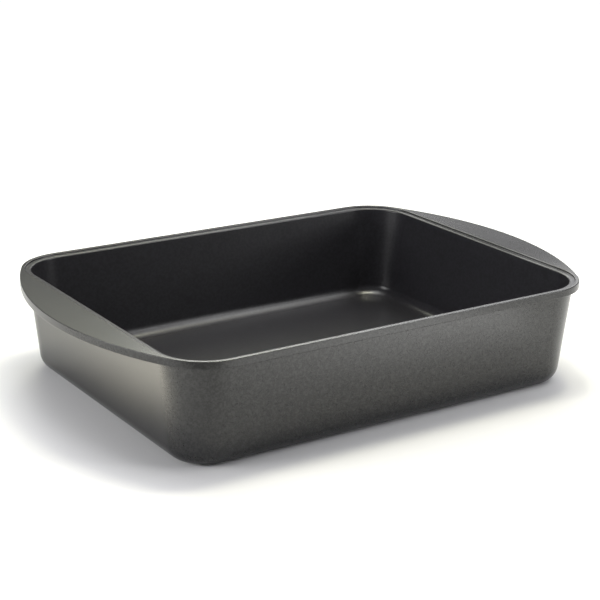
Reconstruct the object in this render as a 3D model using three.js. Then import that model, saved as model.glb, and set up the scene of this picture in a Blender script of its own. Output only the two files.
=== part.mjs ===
// Rectangular roasting pan: one aluminium casting, a black non-stick coating inside it
// and a grey coating outside it. The crescent handles are part of the casting.
// Millimetres, +Z up. The pan stands on z = 0, centred, with its long axis along X.
import * as THREE from 'three';

// Plan of the finished pan, measured at the rim
const OPENING_LENGTH = 339.4;
const OPENING_WIDTH = 260.6;
const OPENING_CORNER_RADIUS = 36.2;
const RIM_WIDTH = 3.1; // flat land along the long sides, from the opening to the outer edge
const HANDLE_REACH = 27.8; // from the opening to the tip of each crescent handle

// Heights and thicknesses
const PAN_HEIGHT = 77.5;
const RIM_THICKNESS = 5.4; // also the thickness of the handles
const LEDGE_DROP = 1.3; // step down from the rim to the ledge just inside the opening
const WALL_THICKNESS = 3.0;
const FLOOR_THICKNESS = 4.2;
const COATING_THICKNESS = 0.1;
const GROUND_DEPTH = 0.3; // skimmed off the underside after coating, which leaves a flat bare base

// Side walls: they lean out towards the rim
const WALL_DRAFT = THREE.MathUtils.degToRad(6.2);
const WALL_SETBACK = 0.9; // the outer wall, carried up to the rim, lies this far inside the opening

// Roundings of the section
const BASE_RADIUS = 12.6; // outside, between base and wall
const FLOOR_RADIUS = 9.0; // inside, between floor and wall
const COVE_RADIUS = 2.5; // between the wall and the underside of the rim
const RIM_LOWER_RADIUS = 1.0;
const RIM_UPPER_RADIUS = 0.8;
const CREST_RADIUS = 0.7; // inner edge of the rim
const LEDGE_FILLET_RADIUS = 0.4; // where the ledge meets the rise to the rim
const LEDGE_LIP_RADIUS = 1.2; // where the ledge turns down into the wall

// Facets along the plan and in the roundings
const CORNER_STEPS = 8;
const END_STEPS = 10;
const SIDE_STEPS = 4;
const LARGE_ARC_STEPS = 6;
const COVE_STEPS = 3;
const SMALL_ARC_STEPS = 2;

const QUARTER_TURN = Math.PI / 2;

// Centres of the four corner arcs, which every outline of the pan shares
const CORNER_X = OPENING_LENGTH / 2 - OPENING_CORNER_RADIUS;
const CORNER_Y = OPENING_WIDTH / 2 - OPENING_CORNER_RADIUS;

// The outer edge of each handle is one arc that runs on from the rim's corner arcs without a kink
const RIM_CORNER_RADIUS = OPENING_CORNER_RADIUS + RIM_WIDTH;
const HANDLE_TIP_X = OPENING_LENGTH / 2 + HANDLE_REACH;
const CORNER_CIRCLE_TIP_X = HANDLE_TIP_X - RIM_CORNER_RADIUS;
const HANDLE_CENTRE_X =
  (CORNER_X ** 2 + CORNER_Y ** 2 - CORNER_CIRCLE_TIP_X ** 2) / (2 * (CORNER_X - CORNER_CIRCLE_TIP_X));
const HANDLE_ARC_RADIUS = HANDLE_TIP_X - HANDLE_CENTRE_X;
const HANDLE_END_SINE = CORNER_Y / (HANDLE_ARC_RADIUS - RIM_CORNER_RADIUS);

// Points round the pan, counter-clockwise from above. Each has a foot on the rectangle through the
// corner centres and the direction square to the walls there.
function planStations() {
  const corners = [[1, 1], [-1, 1], [-1, -1], [1, -1]];
  const centres = corners.map(([x, y]) => new THREE.Vector2(x * CORNER_X, y * CORNER_Y));
  const stations = [];
  centres.forEach((foot, index) => {
    for (let step = 0; step <= CORNER_STEPS; step++) {
      const angle = (index + step / CORNER_STEPS) * QUARTER_TURN;
      stations.push({ foot, out: new THREE.Vector2(Math.cos(angle), Math.sin(angle)) });
    }
    const next = centres[(index + 1) % centres.length];
    const out = stations[stations.length - 1].out;
    const steps = index % 2 === 0 ? SIDE_STEPS : END_STEPS;
    for (let step = 1; step < steps; step++) {
      stations.push({ foot: foot.clone().lerp(next, step / steps), out });
    }
  });
  return stations;
}

// Distance from a station's foot to the opening's outline, grown outwards
function reachOpening(station, grow) {
  return OPENING_CORNER_RADIUS + grow;
}

// Distance from a station's foot to the rim's outer outline, grown outwards
function reachRimEdge(station, grow) {
  if (Math.abs(station.out.y) > HANDLE_END_SINE) return RIM_CORNER_RADIUS + grow;
  const centre = new THREE.Vector2(Math.sign(station.foot.x) * HANDLE_CENTRE_X, 0);
  const fromCentre = station.foot.clone().sub(centre);
  const along = fromCentre.dot(station.out);
  const across = fromCentre.lengthSq() - along ** 2;
  return Math.sqrt((HANDLE_ARC_RADIUS + grow) ** 2 - across) - along;
}

// An arc of the pan's section. Angles turn from straight out (0) to straight up (a quarter turn).
// A hollow arc, such as a cove, has its centre outside the metal.
function sectionArc({ outline, centre, radius, from, to, steps, hollow = false }) {
  const points = [];
  for (let step = 0; step <= steps; step++) {
    const angle = THREE.MathUtils.lerp(from, to, step / steps);
    const normal = new THREE.Vector2(Math.cos(angle), Math.sin(angle));
    const place = normal.clone().multiplyScalar(hollow ? -radius : radius).add(centre);
    points.push({ outline, place, under: place.clone().addScaledVector(normal, -COATING_THICKNESS) });
  }
  return points;
}

// Offsets from the opening of the outer and the inner face of the wall at height z
const WALL_OUT = -WALL_DRAFT;
const WALL_IN = Math.PI + WALL_OUT;
const outerWall = (z) => -WALL_SETBACK - (PAN_HEIGHT - z) * Math.tan(WALL_DRAFT);
const innerWall = (z) => outerWall(z) - WALL_THICKNESS / Math.cos(WALL_DRAFT);

// Centre of an arc at height z that touches a wall face, on the side that sign gives
function besideWall(wallFace, z, radius, sign) {
  const touch = z + sign * radius * Math.sin(WALL_DRAFT);
  return new THREE.Vector2(wallFace(touch) + sign * radius * Math.cos(WALL_DRAFT), z);
}

// Outside of the pan, from the ground base up the wall, round the rim and over to the opening
function outsideSection() {
  const baseCentre = besideWall(outerWall, BASE_RADIUS - GROUND_DEPTH, BASE_RADIUS, -1);
  const groundAngle = -Math.asin(baseCentre.y / BASE_RADIUS);
  const base = sectionArc({
    outline: reachOpening, centre: baseCentre, radius: BASE_RADIUS,
    from: groundAngle, to: WALL_OUT, steps: LARGE_ARC_STEPS,
  });
  const metalRadius = BASE_RADIUS - COATING_THICKNESS;
  base[0].under.set(baseCentre.x + Math.sqrt(metalRadius ** 2 - baseCentre.y ** 2), 0);

  const underRim = PAN_HEIGHT - RIM_THICKNESS;
  const cove = sectionArc({
    outline: reachOpening, centre: besideWall(outerWall, underRim - COVE_RADIUS, COVE_RADIUS, 1),
    radius: COVE_RADIUS, from: WALL_OUT, to: -QUARTER_TURN, steps: COVE_STEPS, hollow: true,
  });
  const rimLower = sectionArc({
    outline: reachRimEdge, centre: new THREE.Vector2(-RIM_LOWER_RADIUS, underRim + RIM_LOWER_RADIUS),
    radius: RIM_LOWER_RADIUS, from: -QUARTER_TURN, to: 0, steps: SMALL_ARC_STEPS,
  });
  const rimUpper = sectionArc({
    outline: reachRimEdge, centre: new THREE.Vector2(-RIM_UPPER_RADIUS, PAN_HEIGHT - RIM_UPPER_RADIUS),
    radius: RIM_UPPER_RADIUS, from: 0, to: QUARTER_TURN, steps: SMALL_ARC_STEPS,
  });
  return [...base, ...cove, ...rimLower, ...rimUpper];
}

// Inside of the pan, from the top of the rim down over the ledge and the wall to the floor
function insideSection() {
  const ledge = PAN_HEIGHT - LEDGE_DROP;
  const crest = sectionArc({
    outline: reachOpening, centre: new THREE.Vector2(CREST_RADIUS, PAN_HEIGHT - CREST_RADIUS),
    radius: CREST_RADIUS, from: QUARTER_TURN, to: Math.PI, steps: SMALL_ARC_STEPS,
  });
  const ledgeFillet = sectionArc({
    outline: reachOpening, centre: new THREE.Vector2(-LEDGE_FILLET_RADIUS, ledge + LEDGE_FILLET_RADIUS),
    radius: LEDGE_FILLET_RADIUS, from: Math.PI, to: QUARTER_TURN, steps: SMALL_ARC_STEPS, hollow: true,
  });
  const lipCentre = besideWall(innerWall, ledge - LEDGE_LIP_RADIUS, LEDGE_LIP_RADIUS, 1);
  const lip = sectionArc({
    outline: reachOpening, centre: lipCentre, radius: LEDGE_LIP_RADIUS,
    from: QUARTER_TURN, to: WALL_IN, steps: SMALL_ARC_STEPS,
  });
  const floor = sectionArc({
    outline: reachOpening, centre: besideWall(innerWall, FLOOR_THICKNESS + FLOOR_RADIUS, FLOOR_RADIUS, -1),
    radius: FLOOR_RADIUS, from: WALL_IN, to: QUARTER_TURN, steps: LARGE_ARC_STEPS, hollow: true,
  });
  return [...crest, ...ledgeFillet, ...lip, ...floor];
}

// One closed line of points round the pan for a point of the section
function planRing(stations, outline, place) {
  return stations.map((station) => {
    const flat = station.foot.clone().addScaledVector(station.out, outline(station, place.x));
    return new THREE.Vector3(flat.x, flat.y, place.y);
  });
}

// Two triangles of a four-sided facet, split along its shorter diagonal, so that two skins over the
// same points lie face to face whichever way they run
function splitQuad(points, a, b, c, d) {
  const shorterAC = points[a].distanceToSquared(points[c]) < points[b].distanceToSquared(points[d]);
  return shorterAC ? [a, b, c, a, c, d] : [a, b, d, b, c, d];
}

// Skin over rings that follow one another along the section. The section either closes on itself,
// or starts at a level floor facing down and ends at one facing up.
function loftRings(rings, { closed }) {
  const around = rings[0].length;
  const points = rings.flat();
  const triangles = [];
  const bands = closed ? rings.length : rings.length - 1;
  for (let band = 0; band < bands; band++) {
    const low = band * around;
    const high = ((band + 1) % rings.length) * around;
    for (let step = 0; step < around; step++) {
      const next = (step + 1) % around;
      triangles.push(...splitQuad(points, low + step, low + next, high + next, high + step));
    }
  }
  if (!closed) {
    const last = (rings.length - 1) * around;
    const downCentre = points.push(new THREE.Vector3(0, 0, points[0].z)) - 1;
    const upCentre = points.push(new THREE.Vector3(0, 0, points[last].z)) - 1;
    for (let step = 0; step < around; step++) {
      const next = (step + 1) % around;
      triangles.push(downCentre, next, step);
      triangles.push(upCentre, last + step, last + next);
    }
  }
  const geometry = new THREE.BufferGeometry().setFromPoints(points);
  geometry.setIndex(triangles);
  geometry.computeVertexNormals();
  return geometry;
}

function namedMesh(name, geometry, look) {
  const mesh = new THREE.Mesh(geometry, new THREE.MeshStandardMaterial(look));
  mesh.name = name;
  return mesh;
}

const stations = planStations();
const inside = insideSection();
const outside = [...outsideSection(), inside[0]];
const faceRings = (section) => section.map(({ outline, place }) => planRing(stations, outline, place));
const metalRings = (section) => section.map(({ outline, under }) => planRing(stations, outline, under));

// The casting fills the section under both coatings
const castPanBody = namedMesh(
  'cast_pan_body',
  loftRings([...metalRings(outside), ...metalRings(inside.slice(1))], { closed: false }),
  { color: 0xb4b6b8, roughness: 0.45, metalness: 1.0 },
);

// The outer coating covers walls, rim and handles and ends at the ground base
const exteriorCoating = namedMesh(
  'exterior_coating',
  loftRings([...faceRings(outside), ...metalRings(outside).reverse()], { closed: true }),
  { color: 0x4b4c4a, roughness: 0.5, metalness: 0.4 },
);

// The inner coating starts at the rim's inner edge and covers ledge, walls and floor
const interiorCoating = namedMesh(
  'interior_nonstick_coating',
  loftRings([...metalRings(inside).reverse(), ...faceRings(inside)], { closed: false }),
  { color: 0x242424, roughness: 0.35, metalness: 0.0 },
);

const roastingPan = new THREE.Group();
roastingPan.add(castPanBody, exteriorCoating, interiorCoating);

export default roastingPan;
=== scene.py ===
# %% [markdown]
# # A cast roasting pan
#
# This lesson dresses a roasting pan: one aluminium casting with leaning walls, a stepped rim and two
# crescent handles, sprayed charcoal grey outside and coated smooth black inside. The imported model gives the
# true size of the three bodies of material, and each of them is modelled again here as a smooth mesh in the
# same place.

# %% Load the frame
import math

import bmesh
import bpy
from mathutils import Matrix, Vector


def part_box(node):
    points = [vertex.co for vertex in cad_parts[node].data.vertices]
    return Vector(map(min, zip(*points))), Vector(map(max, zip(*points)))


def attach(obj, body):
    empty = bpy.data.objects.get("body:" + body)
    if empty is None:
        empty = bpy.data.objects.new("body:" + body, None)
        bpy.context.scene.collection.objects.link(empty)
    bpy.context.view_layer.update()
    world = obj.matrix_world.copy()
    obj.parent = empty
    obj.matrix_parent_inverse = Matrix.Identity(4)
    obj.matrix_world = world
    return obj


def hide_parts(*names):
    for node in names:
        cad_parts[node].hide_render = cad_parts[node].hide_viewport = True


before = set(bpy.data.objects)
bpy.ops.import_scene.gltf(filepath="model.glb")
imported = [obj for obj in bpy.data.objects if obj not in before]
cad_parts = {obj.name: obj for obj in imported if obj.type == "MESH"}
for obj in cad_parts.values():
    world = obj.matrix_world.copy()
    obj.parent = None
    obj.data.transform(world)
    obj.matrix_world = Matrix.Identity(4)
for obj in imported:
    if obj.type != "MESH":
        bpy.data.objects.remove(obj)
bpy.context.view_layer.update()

# %% [markdown]
# ## Sizes
#
# The large sizes are measured on the loaded nodes, so the meshes follow the model if it is packed again at
# other sizes. Only the wall and the small roundings are written here, because a box can't show them. On the
# real pan those roundings come from the mould: a casting has no knife edges.

# %% Measure the pan
MM = 0.001
COATING = 0.1 * MM
CREST_RADIUS = 0.7 * MM
outer_low, outer_high = (Vector(corner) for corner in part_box("exterior_coating"))
inner_low, inner_high = (Vector(corner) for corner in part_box("interior_nonstick_coating"))

HEIGHT = outer_high.z
HANDLE_TIP = outer_high.x
RIM_HALF_WIDTH = outer_high.y
OPENING_HALF_LENGTH = inner_high.x - CREST_RADIUS
OPENING_HALF_WIDTH = inner_high.y - CREST_RADIUS
FLOOR = inner_low.z + COATING
print("pan", [round(2 * side / MM, 1) for side in (HANDLE_TIP, RIM_HALF_WIDTH)], round(HEIGHT / MM, 1), "mm")
print("floor at", round(FLOOR / MM, 2), "mm")

# %% Roundings and wall
OPENING_CORNER = 36.2 * MM
RIM_THICKNESS = 5.4 * MM
LEDGE_DROP = 1.3 * MM
WALL = 3.0 * MM
WALL_SETBACK = 0.9 * MM
GROUND = 0.3 * MM
DRAFT = math.radians(6.2)
BASE_RADIUS = 12.6 * MM
FLOOR_RADIUS = 9.0 * MM
COVE_RADIUS = 2.5 * MM
RIM_LOWER_RADIUS = 0.5 * MM
RIM_UPPER_RADIUS = 0.5 * MM
LEDGE_FILLET = 0.4 * MM
LEDGE_LIP = 1.2 * MM

CORNER_X = OPENING_HALF_LENGTH - OPENING_CORNER
CORNER_Y = OPENING_HALF_WIDTH - OPENING_CORNER
RIM_CORNER = RIM_HALF_WIDTH - CORNER_Y
print("corner radius of opening and rim", [round(radius / MM, 1) for radius in (OPENING_CORNER, RIM_CORNER)])

# %% [markdown]
# ## The handle's arc
#
# Seen from above, each handle's edge is one large arc that leaves the rim's corner arcs without a kink. Two
# arcs touch without a kink when their centres and the touching point lie on one line, which gives the large
# arc's centre from the tip of the handle alone.

# %% Work out the handle's arc
corner_tip = HANDLE_TIP - RIM_CORNER
HANDLE_CENTRE = (corner_tip**2 - CORNER_X**2 - CORNER_Y**2) / (2 * (corner_tip - CORNER_X))
HANDLE_RADIUS = HANDLE_TIP - HANDLE_CENTRE
HANDLE_TURN = math.asin(CORNER_Y / (HANDLE_RADIUS - RIM_CORNER))
print("handle arc radius", round(HANDLE_RADIUS / MM, 1), "mm")
print("half turn of the handle", round(math.degrees(HANDLE_TURN), 1), "degrees")

# %% [markdown]
# ## Drawing an outline
#
# An outline seen from above is drawn as a modeller would: a single point is extruded along the straight
# stretches and spun round the arc centres. Only a quarter is drawn, and a Mirror modifier makes the rest, so
# the pan is exactly as symmetric as its mould. The opening and the rim get the same number of points, which
# lets them be bridged by plain four-sided faces later.

# %% Helpers for edit mode
SAME_PLACE = 0.01 * MM


def edit(piece):
    """Make piece the only selected object and open it in edit mode."""
    if bpy.context.mode != "OBJECT":
        bpy.ops.object.mode_set(mode="OBJECT")
    bpy.ops.object.select_all(action="DESELECT")
    piece.select_set(True)
    bpy.context.view_layer.objects.active = piece
    bpy.ops.object.mode_set(mode="EDIT")
    bpy.ops.mesh.select_mode(type="VERT")


def leave_edit():
    bpy.ops.object.mode_set(mode="OBJECT")


def apply_modifier(piece, kind, **settings):
    modifier = piece.modifiers.new(kind.lower(), kind)
    for name, value in settings.items():
        setattr(modifier, name, value)
    bpy.context.view_layer.objects.active = piece
    bpy.ops.object.modifier_apply(modifier=modifier.name)


# %% Helpers for drawing
QUARTER = math.radians(90)
SIDE_STEPS = 4
CORNER_STEPS = 12
JOIN_STEPS = 6
END_STEPS = 24


def start_point(name, place):
    """A new piece that is one point: a small plane merged to its centre and moved into place."""
    bpy.ops.object.select_all(action="DESELECT")
    bpy.ops.mesh.primitive_plane_add(size=MM)
    piece = bpy.context.object
    piece.name = name
    edit(piece)
    bpy.ops.mesh.merge(type="CENTER")
    bpy.ops.transform.translate(value=place)
    return piece


def draw_line(step, steps):
    for _ in range(steps):
        bpy.ops.mesh.extrude_region_move(TRANSFORM_OT_translate={"value": step / steps})


def draw_arc(centre, turn, steps):
    """Spin the selected point clockwise, seen from above."""
    bpy.ops.mesh.spin(steps=steps, angle=turn, center=centre, axis=(0, 0, 1))


def mirror_quarter(piece):
    leave_edit()
    apply_modifier(piece, "MIRROR", use_axis=(True, True, False), merge_threshold=SAME_PLACE)


print("steps along a quarter", SIDE_STEPS + CORNER_STEPS + JOIN_STEPS + END_STEPS)


# %% Draw the opening and the rim
def draw_opening(name, grow, z):
    """The opening's outline at height z, moved outwards by grow."""
    piece = start_point(name, Vector((0, OPENING_HALF_WIDTH + grow, z)))
    corner = Vector((CORNER_X, CORNER_Y, z))
    draw_line(Vector((CORNER_X, 0, 0)), SIDE_STEPS)
    draw_arc(corner, QUARTER - HANDLE_TURN, CORNER_STEPS)
    draw_arc(corner, HANDLE_TURN, JOIN_STEPS)
    draw_line(Vector((0, -CORNER_Y, 0)), END_STEPS)
    mirror_quarter(piece)
    return piece


def draw_rim(name, z):
    """The rim's outer edge at height z, with the handles' arcs at both ends."""
    piece = start_point(name, Vector((0, RIM_HALF_WIDTH, z)))
    draw_line(Vector((CORNER_X, 0, 0)), SIDE_STEPS)
    draw_arc(Vector((CORNER_X, CORNER_Y, z)), QUARTER - HANDLE_TURN, CORNER_STEPS)
    draw_arc(Vector((HANDLE_CENTRE, 0, z)), HANDLE_TURN, JOIN_STEPS + END_STEPS)
    mirror_quarter(piece)
    return piece


# %% [markdown]
# ## Walking along the section
#
# Cut through, the wall is a chain of short arcs and straight lines. Once an outline is filled with a face,
# each step along that chain is one Inset: its thickness takes the outline inwards, its depth takes it up or
# down. Inset with even offset keeps the wall's distance true round the corners, where scaling the outline
# would not.

# %% Helpers for the section
LARGE_STEPS = 10
SMALL_STEPS = 4


def arc_points(centre, radius, start, end, steps):
    """Points of an arc in the section, as (distance outwards, height)."""
    turn = (end - start) / steps
    angles = [start + turn * step for step in range(steps + 1)]
    return [(centre[0] + radius * math.cos(a), centre[1] + radius * math.sin(a)) for a in angles]


def outer_wall(z):
    return -WALL_SETBACK - (HEIGHT - z) * math.tan(DRAFT)


def inner_wall(z):
    return outer_wall(z) - WALL / math.cos(DRAFT)


def beside(wall, z, radius, above):
    """Centre of an arc at height z that touches the wall, on its outer side where above is 1."""
    touch = z + above * radius * math.sin(DRAFT)
    return (wall(touch) + above * radius * math.cos(DRAFT), z)


# %% Section points
UNDER_RIM = HEIGHT - RIM_THICKNESS
LEDGE = HEIGHT - LEDGE_DROP
cove_centre = beside(outer_wall, UNDER_RIM - COVE_RADIUS, COVE_RADIUS, 1)
base_centre = beside(outer_wall, BASE_RADIUS - GROUND, BASE_RADIUS, -1)
crest_centre = (CREST_RADIUS, HEIGHT - CREST_RADIUS)
ledge_centre = (-LEDGE_FILLET, LEDGE + LEDGE_FILLET)
lip_centre = beside(inner_wall, LEDGE - LEDGE_LIP, LEDGE_LIP, 1)
floor_centre = beside(inner_wall, FLOOR + FLOOR_RADIUS, FLOOR_RADIUS, -1)

outside_section = arc_points(cove_centre, COVE_RADIUS, QUARTER, 2 * QUARTER - DRAFT, SMALL_STEPS)
outside_section += arc_points(base_centre, BASE_RADIUS, -DRAFT, -QUARTER, LARGE_STEPS)

inside_section = arc_points(crest_centre, CREST_RADIUS, QUARTER, 2 * QUARTER, SMALL_STEPS)
inside_section += arc_points(ledge_centre, LEDGE_FILLET, 0, -QUARTER, SMALL_STEPS)
inside_section += arc_points(lip_centre, LEDGE_LIP, QUARTER, 2 * QUARTER - DRAFT, SMALL_STEPS)
inside_section += arc_points(floor_centre, FLOOR_RADIUS, -DRAFT, -QUARTER, LARGE_STEPS)
print("section points outside", len(outside_section), "inside", len(inside_section))


# %% Inset along a section
def fill_outline(piece, facing):
    """Fill the outline with one face that looks up (1) or down (-1)."""
    edit(piece)
    bpy.ops.mesh.select_all(action="SELECT")
    bpy.ops.mesh.edge_face_add()
    bpy.ops.mesh.select_mode(type="FACE")
    bpy.ops.mesh.select_all(action="SELECT")
    face = bmesh.from_edit_mesh(piece.data).faces[:][0]
    if face.normal.z * facing < 0:
        bpy.ops.mesh.flip_normals()


def walk_section(section, facing):
    """Inset the selected face from point to point of the section."""
    for here, there in zip(section, section[1:]):
        bpy.ops.mesh.inset(
            thickness=here[0] - there[0],
            depth=(there[1] - here[1]) * facing,
            use_boundary=True,
            use_even_offset=True,
        )


# %% Select by place
def select_in_edit(piece, kind, test):
    """Select the vertices, edges or faces of the piece in edit mode that pass a test."""
    bpy.ops.mesh.select_mode(type=kind)
    bpy.ops.mesh.select_all(action="DESELECT")
    mesh = bmesh.from_edit_mesh(piece.data)
    items = {"VERT": mesh.verts, "EDGE": mesh.edges, "FACE": mesh.faces}[kind]
    for item in items:
        if test(item):
            item.select_set(True)
    bmesh.update_edit_mesh(piece.data)


def at_height(z):
    """A test for edges that lie at height z."""
    return lambda edge: all(abs(vert.co.z - z) < SAME_PLACE for vert in edge.verts)


def open_at_height(z, side):
    """A test for open edges at height z, in the pan's right half (side 1) or left half (side -1)."""
    level = at_height(z)

    def test(edge):
        in_half = side * sum(vert.co.x for vert in edge.verts) > 0
        return level(edge) and len(edge.link_faces) < 2 and in_half

    return test


def bridge_level(piece, z):
    """Bridge the two open outlines at height z, half by half, so that two chains are matched end to end."""
    for side in (1, -1):
        select_in_edit(piece, "EDGE", open_at_height(z, side))
        bpy.ops.mesh.bridge_edge_loops()


# %% [markdown]
# ## The outside skin
#
# Outside, the skin runs from the inner edge of the rim over the rim's band, under the rim, through a cove
# into the leaning wall and round the base. The wall is one chain of insets. The band is the rim's outline
# extruded to its thickness, with the upper and lower edge rounded by Bevel. Two bridges then close the flat
# land on top, which widens into the handles, and the flat underside.

# %% Model the wall outside
wall_outside = draw_opening("wall_outside", outside_section[0][0], UNDER_RIM)
fill_outline(wall_outside, -1)
walk_section(outside_section, -1)
leave_edit()
print("wall outside", len(wall_outside.data.polygons), "faces")

# %% Model the rim's band
rim_band = draw_rim("rim_band", UNDER_RIM)
fill_outline(rim_band, -1)
bpy.ops.mesh.extrude_region_move(TRANSFORM_OT_translate={"value": (0, 0, RIM_THICKNESS)})
for level, radius in ((UNDER_RIM, RIM_LOWER_RADIUS), (HEIGHT, RIM_UPPER_RADIUS)):
    select_in_edit(rim_band, "EDGE", at_height(level))
    bpy.ops.mesh.bevel(offset=radius, segments=SMALL_STEPS, profile=0.5, affect="EDGES")
select_in_edit(rim_band, "FACE", lambda face: len(face.verts) > 4)
bpy.ops.mesh.delete(type="ONLY_FACE")
leave_edit()
print("rim band", len(rim_band.data.polygons), "faces")


# %% Join and bridge them
def join(name, *pieces):
    bpy.ops.object.select_all(action="DESELECT")
    for piece in pieces:
        piece.select_set(True)
    bpy.context.view_layer.objects.active = pieces[0]
    bpy.ops.object.join()
    pieces[0].name = name
    return pieces[0]


crest_line = draw_opening("crest_line", CREST_RADIUS, HEIGHT)
outside_skin = join("outside_skin", wall_outside, rim_band, crest_line)
edit(outside_skin)
for level in (UNDER_RIM, HEIGHT):
    bridge_level(outside_skin, level)
bpy.ops.mesh.select_all(action="SELECT")
bpy.ops.mesh.normals_make_consistent(inside=False)
leave_edit()
print("outside skin", len(outside_skin.data.polygons), "faces")

# %% [markdown]
# ## The inside skin
#
# Inside, one chain of insets does everything: over the rounded crest, down the small step to the ledge, over
# the ledge's lip, down the wall and through the large rounding into the floor. The face that is left at the
# end is the floor itself.

# %% Model the inside
inside_skin = draw_opening("inside_skin", CREST_RADIUS, HEIGHT)
fill_outline(inside_skin, 1)
walk_section(inside_section, 1)
leave_edit()
print("inside skin", len(inside_skin.data.polygons), "faces")

# %% [markdown]
# ## The casting under the coatings
#
# The metal lies one coating's thickness under both skins. A copy of the skins is joined into one closed body
# and shrunk along its normals. Then the underside is skimmed flat, as on a grinding belt: Bisect cuts at the
# height of the table, throws away what is below and fills the cut.

# %% Helpers for the casting
CUT_TOLERANCE = 0.001 * MM


def copy_piece(piece, name):
    twin = piece.copy()
    twin.data = piece.data.copy()
    twin.name = name
    bpy.context.collection.objects.link(twin)
    return twin


def grind_base(piece, fill):
    """Open the piece in edit mode and cut it off at the table's height."""
    edit(piece)
    bpy.ops.mesh.select_all(action="SELECT")
    bpy.ops.mesh.bisect(
        plane_co=(0, 0, 0),
        plane_no=(0, 0, 1),
        clear_inner=True,
        use_fill=fill,
        threshold=CUT_TOLERANCE,
    )


# %% Model the casting
casting = join("casting_metal", copy_piece(outside_skin, "metal_out"), copy_piece(inside_skin, "metal_in"))
edit(casting)
bpy.ops.mesh.select_all(action="SELECT")
bpy.ops.mesh.remove_doubles(threshold=SAME_PLACE)
bpy.ops.mesh.normals_make_consistent(inside=False)
bpy.ops.transform.shrink_fatten(value=-COATING, use_even_offset=True)
leave_edit()
grind_base(casting, True)
leave_edit()
print("casting", len(casting.data.polygons), "faces, lowest", min(v.co.z for v in casting.data.vertices))

# %% [markdown]
# ## The two coatings
#
# A coating is a skin with a little thickness, so Solidify grows both inwards from their outer face. The
# outside coat is then ground off the base with the metal, which leaves a bright bare base inside a grey edge.

# %% Give the coatings their thickness
for skin in (outside_skin, inside_skin):
    apply_modifier(skin, "SOLIDIFY", thickness=COATING, offset=-1, use_even_offset=True)

grind_base(outside_skin, False)
bridge_level(outside_skin, 0)
leave_edit()
outside_skin.name = "exterior_coat"
inside_skin.name = "interior_coat"
print("coatings", round(COATING / MM, 2), "mm thick")

# %% [markdown]
# ## Smooth shading
#
# The real surfaces are smooth, so the faces are shaded as one surface where they meet at less than 40
# degrees. The large flat faces would then look bent along their edges. A Weighted Normal modifier mends that:
# it lets the larger face decide, so flat stays flat and only the roundings turn.

# %% Shade the pieces
SHARP = math.radians(40)
for piece in (casting, outside_skin, inside_skin):
    bpy.ops.object.select_all(action="DESELECT")
    piece.select_set(True)
    bpy.context.view_layer.objects.active = piece
    bpy.ops.object.shade_smooth_by_angle(angle=SHARP)
    apply_modifier(piece, "WEIGHTED_NORMAL", mode="FACE_AREA", keep_sharp=True)
    print(piece.name, len(piece.data.polygons), "faces")


# %% [markdown]
# ## Shader maths
#
# A finish is a formula over the surface. This small class lets a formula be written as Python: it wraps one
# socket, its operators add Math nodes, and its node method adds any other node. A Mix node has sockets for
# numbers, vectors and colours under the same names, so those for colours are found by their place.

# %% A socket that can be calculated with
MIX_FACTOR = 0
MIX_FIRST = 6
MIX_SECOND = 7
MIX_RESULT = 2


class Wire:
    def __init__(self, tree, socket=None):
        self.tree = tree
        self.socket = socket

    def fill(self, node, sockets):
        """Set or link the sockets of a node."""
        for name, value in sockets.items():
            if isinstance(value, Wire):
                self.tree.links.new(value.socket, node.inputs[name])
            else:
                node.inputs[name].default_value = value

    def node(self, kind, settings=None, sockets=None, output=0):
        """Add a node, set it up, fill its sockets and return one of its outputs."""
        node = self.tree.nodes.new(kind)
        for name, value in (settings or {}).items():
            setattr(node, name, value)
        self.fill(node, sockets or {})
        return Wire(self.tree, node.outputs[output])

    def maths(self, operation, first, second):
        return self.node("ShaderNodeMath", {"operation": operation}, {0: first, 1: second})

    def __add__(self, other):
        return self.maths("ADD", self, other)

    def __radd__(self, other):
        return self.maths("ADD", other, self)

    def __sub__(self, other):
        return self.maths("SUBTRACT", self, other)

    def __rsub__(self, other):
        return self.maths("SUBTRACT", other, self)

    def __mul__(self, other):
        return self.maths("MULTIPLY", self, other)

    def __rmul__(self, other):
        return self.maths("MULTIPLY", other, self)

    def between(self, low, high):
        """0 below low, 1 above high, and a soft rise between."""
        settings = {"interpolation_type": "SMOOTHSTEP"}
        return self.node("ShaderNodeMapRange", settings, {"Value": self, "From Min": low, "From Max": high})

    def mix(self, first, second):
        """The first colour where this is 0, the second where it is 1."""
        sockets = {MIX_FACTOR: self, MIX_FIRST: first, MIX_SECOND: second}
        return self.node("ShaderNodeMix", {"data_type": "RGBA"}, sockets, MIX_RESULT)


# %% Helpers for finishes
def new_finish(name):
    """A material with only its Principled shader; returns it, the shader and a wire to start from."""
    material = bpy.data.materials.new(name)
    material.use_nodes = True
    return material, material.node_tree.nodes["Principled BSDF"], Wire(material.node_tree)


def place_on(start):
    """The place on the piece, in metres."""
    return start.node("ShaderNodeTexCoord", output="Object")


def noise(start, place, scale, detail=2.0, roughness=0.5):
    """Soft random patches, with about as many to a metre as the scale says."""
    sockets = {"Vector": place, "Scale": scale, "Detail": detail, "Roughness": roughness}
    return start.node("ShaderNodeTexNoise", None, sockets)


# %% [markdown]
# ## Charcoal coating outside
#
# The outside is sprayed with a black lacquer that holds fine metal flakes. Seen straight on, the flakes show
# as a grey speckle. Seen at a flat angle, the smooth lacquer mirrors the surroundings and hides them. One
# shader can't be lacquer and metal at once, so two are mixed: noises of about one and two millimetres say how
# much flake shows, and a much larger one keeps the sheen from being quite even.

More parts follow.
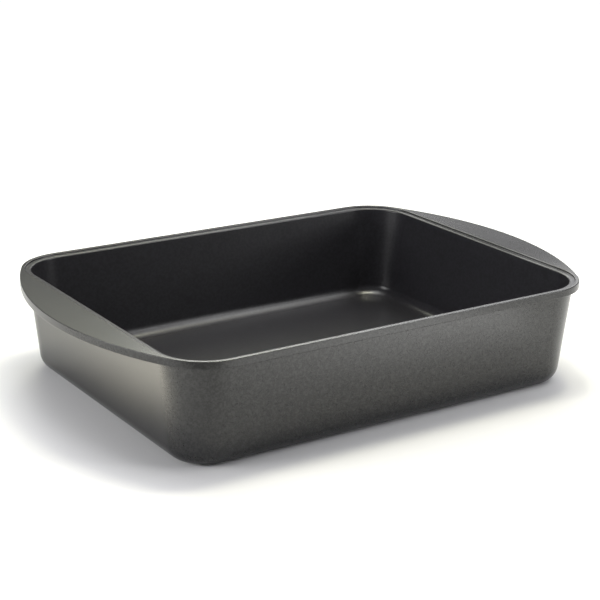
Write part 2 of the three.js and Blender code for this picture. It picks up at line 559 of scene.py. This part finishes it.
# %% Make the charcoal coating
COATING_IOR = 1.5
LACQUER = (0.012, 0.012, 0.012, 1)
LACQUER_ROUGHNESS = 0.22
ROUGHNESS_DRIFT = 0.05
FLAKE = (0.34, 0.34, 0.33, 1)
FLAKE_ROUGHNESS = 0.38
FEWEST_FLAKES = 0.009
MORE_FLAKES = 0.062
SPECK_RANGE = (0.36, 0.66)
GRAIN_SCALE = 900
PEBBLE_SCALE = 420
DRIFT_SCALE = 14


def make_charcoal():
    material, lacquer, start = new_finish("charcoal_coating")
    place = place_on(start)
    grain = noise(start, place, GRAIN_SCALE, detail=1.0)
    pebble = noise(start, place, PEBBLE_SCALE, roughness=0.6)
    drift = noise(start, place, DRIFT_SCALE)
    speck = (grain * 0.5 + pebble * 0.5).between(*SPECK_RANGE)
    start.fill(lacquer, {
        "Base Color": LACQUER,
        "Roughness": LACQUER_ROUGHNESS + drift * ROUGHNESS_DRIFT,
        "IOR": COATING_IOR,
    })
    flake = start.node("ShaderNodeBsdfPrincipled", None, {
        "Base Color": FLAKE,
        "Metallic": 1.0,
        "Roughness": FLAKE_ROUGHNESS,
    })
    share = FEWEST_FLAKES + speck * MORE_FLAKES
    gloss = Wire(start.tree, lacquer.outputs[0])
    mixed = start.node("ShaderNodeMixShader", None, {0: share, 1: gloss, 2: flake})
    start.fill(start.tree.nodes["Material Output"], {"Surface": mixed})
    return material


charcoal = make_charcoal()
print(charcoal.name, len(charcoal.node_tree.nodes), "nodes")

# %% [markdown]
# ## Black coating inside
#
# The inside is coated for release, so it is smooth and darker, with a satin sheen. A very shallow waviness,
# as in any sprayed film, keeps the highlight along the floor's rounding from being a perfect line.

# %% Make the black coating
BLACK_DARK = (0.014, 0.0135, 0.0155, 1)
BLACK_LIGHT = (0.021, 0.0205, 0.024, 1)
BLACK_ROUGHNESS = 0.27
MIDDLE_RANGE = (0.35, 0.65)
MOTTLE_SCALE = 500
MOTTLE_DEPTH = 0.1 * MM
WAVE_SCALE = 60


def make_black():
    material, shader, start = new_finish("black_coating")
    place = place_on(start)
    mottle = noise(start, place, MOTTLE_SCALE)
    wave = noise(start, place, WAVE_SCALE)
    bump = start.node("ShaderNodeBump", None, {"Strength": 0.04, "Distance": MOTTLE_DEPTH, "Height": mottle})
    start.fill(shader, {
        "Base Color": mottle.between(*MIDDLE_RANGE).mix(BLACK_DARK, BLACK_LIGHT),
        "Roughness": BLACK_ROUGHNESS + wave * ROUGHNESS_DRIFT,
        "IOR": COATING_IOR,
        "Normal": bump,
    })
    return material


black = make_black()
print(black.name, len(black.node_tree.nodes), "nodes")

# %% [markdown]
# ## Ground aluminium underneath
#
# The base is bare metal with the fine straight lines of a grinding belt. Noise that is stretched along the
# pan gives lines of different brightness, and the same lines carry the bump.

# %% Make the ground aluminium
ALUMINIUM_DARK = (0.55, 0.55, 0.56, 1)
ALUMINIUM_LIGHT = (0.74, 0.74, 0.75, 1)
ALUMINIUM_ROUGHNESS = 0.30
LINE_ROUGHNESS = 0.15
ALONG_THE_BELT = (0.03, 1.0, 1.0)
FINE_LINES = 2200
FINE_SHARE = 0.7
BROAD_LINES = 260
LINE_DEPTH = 0.05 * MM


def make_aluminium():
    material, shader, start = new_finish("ground_aluminium")
    lines = start.node("ShaderNodeMapping", None, {"Vector": place_on(start), "Scale": ALONG_THE_BELT})
    fine = noise(start, lines, FINE_LINES, detail=3.0, roughness=0.7)
    broad = noise(start, lines, BROAD_LINES)
    line = (fine * FINE_SHARE + broad * (1 - FINE_SHARE)).between(*MIDDLE_RANGE)
    bump = start.node("ShaderNodeBump", None, {"Strength": 0.15, "Distance": LINE_DEPTH, "Height": line})
    start.fill(shader, {
        "Base Color": line.mix(ALUMINIUM_DARK, ALUMINIUM_LIGHT),
        "Roughness": ALUMINIUM_ROUGHNESS + line * LINE_ROUGHNESS,
        "Metallic": 1.0,
        "Normal": bump,
    })
    return material


aluminium = make_aluminium()
print(aluminium.name, len(aluminium.node_tree.nodes), "nodes")

# %% [markdown]
# ## Place the pieces on the frame
#
# Nothing on the pan moves, so all three pieces ride on its one body. Each row names a piece, the node of the
# model that it stands for, the record's name for its finish and the finish itself; the node is hidden and the
# finish is put on the piece.

# %% Dress the frame
DRESS = (
    (casting, "cast_pan_body", "cast_aluminium", aluminium),
    (outside_skin, "exterior_coating", "exterior_coating", charcoal),
    (inside_skin, "interior_nonstick_coating", "interior_nonstick", black),
)
for piece, node, slot, material in DRESS:
    piece.data.materials.clear()
    piece.data.materials.append(material)
    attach(piece, "root")
    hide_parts(node)
    print(piece.name, "stands for", node)

# %% [markdown]
# ## Table and surroundings
#
# The pan stands on a wide white table in plain grey surroundings. The lamps light the table well only near
# the pan, and brighter lamps would spoil the pan's own colours. So the table has a faint glow of its own,
# which grows with the distance and keeps it white. Only the camera, reflections and glass see that glow, so
# it puts no light on the pan, and the table has none of it close to the pan, so the shadow stays.

# %% Helpers for the table's glow
NO_GLOW = (0.160, 0.25, 1.0)
NEAR_RISE = 0.09
NEAR_GLOW = 0.22
FAR_START = 0.4
FAR_END = 1.2
FAR_GLOW = 0.62
SEEING_RAYS = ("Is Camera Ray", "Is Glossy Ray", "Is Transmission Ray")


def seen_or_mirrored(start):
    """1 for rays from the camera, from a reflection or through glass, and 0 for light on surfaces."""
    camera_ray, glossy_ray, glass_ray = (start.node("ShaderNodeLightPath", output=ray) for ray in SEEING_RAYS)
    return (camera_ray + glossy_ray + glass_ray).between(0, 1)


def vector_maths(start, operation, *vectors, output="Vector"):
    return start.node("ShaderNodeVectorMath", {"operation": operation}, dict(enumerate(vectors)), output)


def table_glow(start):
    """No glow within the half sizes of NO_GLOW round the pan, a little outside, and more far away."""
    place = vector_maths(start, "ABSOLUTE", place_on(start))
    past = vector_maths(start, "SUBTRACT", place, NO_GLOW)
    out = vector_maths(start, "MAXIMUM", past, (0, 0, 0))
    away = vector_maths(start, "LENGTH", out, output="Value")
    return away.between(0, NEAR_RISE) * NEAR_GLOW + away.between(FAR_START, FAR_END) * FAR_GLOW


# %% Lay the table
TABLE_SIZE = 40.0
TABLE_WHITE = (0.82, 0.82, 0.82, 1)
BLACK = (0, 0, 0, 1)
WHITE = (1, 1, 1, 1)
bpy.ops.object.select_all(action="DESELECT")
bpy.ops.mesh.primitive_plane_add(size=TABLE_SIZE)
table = bpy.context.object
table.name = "table"
table_finish, table_shader, table_start = new_finish("white_table")
glow = seen_or_mirrored(table_start) * table_glow(table_start)
table_start.fill(table_shader, {
    "Base Color": TABLE_WHITE,
    "Roughness": 0.9,
    "Emission Color": glow.mix(BLACK, WHITE),
    "Emission Strength": 1.0,
})
table.data.materials.append(table_finish)
print("table", TABLE_SIZE, "m wide")

# %% Set the surroundings
SURROUNDINGS = (0.18, 0.18, 0.20, 1)
world = bpy.data.worlds.new("grey_surroundings")
bpy.context.scene.world = world
world.use_nodes = True
Wire(world.node_tree).fill(world.node_tree.nodes["Background"], {"Color": SURROUNDINGS, "Strength": 1.0})
print("surroundings", SURROUNDINGS[:3])

# %% [markdown]
# ## Soft panels
#
# A dark glossy thing shows mostly what it mirrors, so the light is built like a product studio round a black
# object. Each panel is an area lamp that fades towards its edges, as a cloth in front of a lamp does, because
# a hard edge would show in the gloss. Blender sets a lamp by its power, which changes its brightness with its
# size. Here the brightness is set instead, counted in sheets of white paper, and the power follows.

# %% Make a soft panel
PLAIN = (1, 1, 1)
SOFT = (0.2, 0.2)


def fade_edges(lamp, across, along):
    """Let a lamp fade over a share of its width (across) and height (along), at the low and the high end."""
    lamp.use_nodes = True
    start = Wire(lamp.node_tree)
    place = start.node("ShaderNodeNewGeometry", output="Parametric")
    glow = 1.0
    for axis, (low, high) in (("X", across), ("Y", along)):
        share = start.node("ShaderNodeSeparateXYZ", None, {0: place}, axis)
        glow = glow * share.between(0, low) * (1 - share.between(1 - high, 1))
    start.fill(lamp.node_tree.nodes["Emission"], {"Strength": glow})


def add_panel(name, place, turn, size, brightness, colour=PLAIN, across=SOFT, along=SOFT):
    """An area lamp of a size (width, height). Brightness 1 is as bright as white paper in the picture."""
    lamp = bpy.data.lights.new(name, "AREA")
    lamp.shape = "RECTANGLE"
    lamp.size, lamp.size_y = size
    lamp.energy = math.pi * size[0] * size[1] * brightness
    lamp.color = colour
    fade_edges(lamp, across, along)
    panel = bpy.data.objects.new(name, lamp)
    panel.location = place
    panel.rotation_euler = turn
    panel.visible_camera = False
    bpy.context.collection.objects.link(panel)
    print(name, [round(side, 2) for side in size], "m, brightness", brightness)


# %% Helpers for hanging panels
PAN_MIDDLE = Vector((0, 0, HEIGHT / 2))
PANEL_FAR = 1.2


def hang_point(bearing, rise):
    """A place at panel distance, at a bearing round the pan and a rise above the table, in degrees."""
    bearing = math.radians(bearing)
    rise = math.radians(rise)
    flat = math.cos(rise)
    way = Vector((math.sin(bearing) * flat, math.cos(bearing) * flat, math.sin(rise)))
    return PAN_MIDDLE + way * PANEL_FAR


def hang_panel(name, bearing, rise, **settings):
    """A level panel at a bearing and a rise, in degrees, that faces the pan."""
    place = hang_point(bearing, rise)
    turn = (PAN_MIDDLE - place).to_track_quat("-Z", "Y").to_euler()
    add_panel(name, place, turn, **settings)


def span_panel(name, left, right, thickness, aim=PAN_MIDDLE, **settings):
    """A panel from one point to another, which may slope, that shines towards a third point."""
    middle = (left + right) / 2
    side = (right - left).normalized()
    up = (middle - aim).cross(side).normalized()
    turn = Matrix((side, up, side.cross(up))).transposed().to_euler()
    add_panel(name, middle, turn, size=((right - left).length, thickness), **settings)


# %% [markdown]
# ## Hang the panels
#
# The panels round the pan are what its roundings mirror: those on the right lie on an arch, which gives the
# rounding of the floor one long highlight. The panel behind fades downwards and gives the handles their
# sheen. Two small warm spots make the glint in the rear corner, and two strips draw the bright line along
# the near rim. The second strip is small and hangs low over the pan's right end, where the near rim mirrors
# it and the handle's flat top doesn't.

# %% Hang panels round the pan
OLIVE = (0.98, 1.0, 0.82)
GOLD = (1.0, 0.98, 0.78)
hang_panel("panel_above", 330, 82, size=(0.8, 0.6), brightness=5.4)
hang_panel("panel_left", 283, 17, size=(0.85, 0.42), brightness=12.5)
hang_panel("panel_right_low", 137, 12, size=(0.4, 0.3), brightness=10.0)
hang_panel("panel_right_middle", 144, 34, size=(0.26, 0.26), brightness=12.5)
span_panel("panel_right_high", hang_point(92, 60), hang_point(136, 42), thickness=0.26, brightness=9.0)
span_panel("panel_right_rear", hang_point(48, 45), hang_point(92, 58), thickness=0.26, brightness=4.5)
hang_panel("panel_behind", 21, 38, size=(0.75, 0.8), brightness=5.5, colour=OLIVE, along=(0.75, 0.1))
hang_panel("panel_behind_right", 46, 14, size=(0.42, 0.14), brightness=1.1)
hang_panel("spot_above", 95, 74, size=(0.18, 0.18), brightness=62.0, colour=GOLD)
hang_panel("spot_above_rear", 60, 82, size=(0.16, 0.16), brightness=50.0, colour=GOLD)

# %% Hang the strips for the rim
NEAR_RIM = Vector((0, -RIM_HALF_WIDTH, HEIGHT))
NEAR_RIM_RIGHT = Vector((0.12, -0.13, HEIGHT))
STRIP_HEIGHT = 0.134
STRIP_LEFT_END = Vector((0.04, 0, STRIP_HEIGHT))
STRIP_RIGHT_END = Vector((0.34, 0, STRIP_HEIGHT))
span_panel(
    "strip_behind",
    hang_point(19, 28.5),
    hang_point(44, 22.5),
    thickness=0.08,
    aim=NEAR_RIM,
    brightness=9.0,
)
span_panel(
    "strip_right",
    STRIP_LEFT_END,
    STRIP_RIGHT_END,
    thickness=0.025,
    aim=NEAR_RIM_RIGHT,
    brightness=3.2,
    across=(0.35, 0.05),
)

# %% [markdown]
# ## Cards on the table
#
# The walls lean outwards and mirror the table, so lamps up in the air hardly show in them. A photographer
# lays reflector cards on the table instead. Here a card is a panel that lies flat and shines upwards, and its
# wide fade gives the walls their soft change from light to dark.

# %% Lay the reflector cards
CARD_LIFT = 3 * MM
CARD_TURN = (math.pi, 0, 0)
CARD_WARM = (1.0, 0.94, 0.76)


def lay_card(name, x, y, **settings):
    """A card on the table between two x and two y that sends light straight up."""
    middle = Vector((sum(x) / 2, sum(y) / 2, CARD_LIFT))
    add_panel(name, middle, CARD_TURN, size=(x[1] - x[0], y[1] - y[0]), **settings)


lay_card(
    "card_left",
    x=(-0.28, -0.165),
    y=(-0.13, 0.24),
    brightness=2.5,
    colour=CARD_WARM,
    across=(0.2, 0.6),
    along=(0.7, 0.4),
)
lay_card(
    "card_front",
    x=(-0.165, 0.205),
    y=(-0.47, -0.165),
    brightness=1.85,
    across=(0.85, 0.1),
    along=(0.2, 0.7),
)

# %% [markdown]
# ## A black flag
#
# At the front left corner the rim's band is darker than the wall below it. The band is upright, so it mirrors
# the table further out than the leaning wall does, and something dark must lie there. Photographers use a
# black flag for this, a card of dark felt. It lies just outside the picture. The camera doesn't see it and it
# casts no shadow, so it shows only where the pan mirrors it.

# %% Lay the black flag
FLAG_SIZE = 0.4
FLAG_PLACE = (-0.415, -0.413, 4 * MM)
FLAG_TURN = math.radians(-33.5)
FELT = (0.01, 0.01, 0.01, 1)
bpy.ops.object.select_all(action="DESELECT")
bpy.ops.mesh.primitive_plane_add(size=FLAG_SIZE, location=FLAG_PLACE, rotation=(0, 0, FLAG_TURN))
flag = bpy.context.object
flag.name = "black_flag"
flag.visible_camera = False
flag.visible_shadow = False
flag_finish, flag_shader, flag_start = new_finish("black_felt")
flag_start.fill(flag_shader, {"Base Color": FELT, "Roughness": 1.0})
flag.data.materials.append(flag_finish)
print("flag", FLAG_SIZE, "m wide")

# %% [markdown]
# ## Camera
#
# The camera was found by fitting the pan's outline to the photograph: it looks down by about 18 degrees from
# the front left, from about 1.2 metres away, with a long lens and a very small roll.

# %% Set the camera
CAMERA_PLACE = Vector((-0.60043, -0.90998, 0.41407))
CAMERA_YAW = math.radians(33.4637)
CAMERA_PITCH = math.radians(18.2083)
CAMERA_ROLL = math.radians(0.8296)
CAMERA_LENS = 94.108
CAMERA_SENSOR = 36
camera_data = bpy.data.cameras.new("camera")
camera_data.lens = CAMERA_LENS
camera_data.sensor_width = CAMERA_SENSOR
camera = bpy.data.objects.new("camera", camera_data)
turn = Matrix.Rotation(-CAMERA_YAW, 4, "Z")
tilt = Matrix.Rotation(QUARTER - CAMERA_PITCH, 4, "X")
roll = Matrix.Rotation(CAMERA_ROLL, 4, "Z")
camera.matrix_world = Matrix.Translation(CAMERA_PLACE) @ turn @ tilt @ roll
bpy.context.collection.objects.link(camera)
bpy.context.scene.camera = camera
bpy.context.scene.view_settings.view_transform = "Standard"
print("camera", round(CAMERA_PLACE.length, 2), "m from the pan")
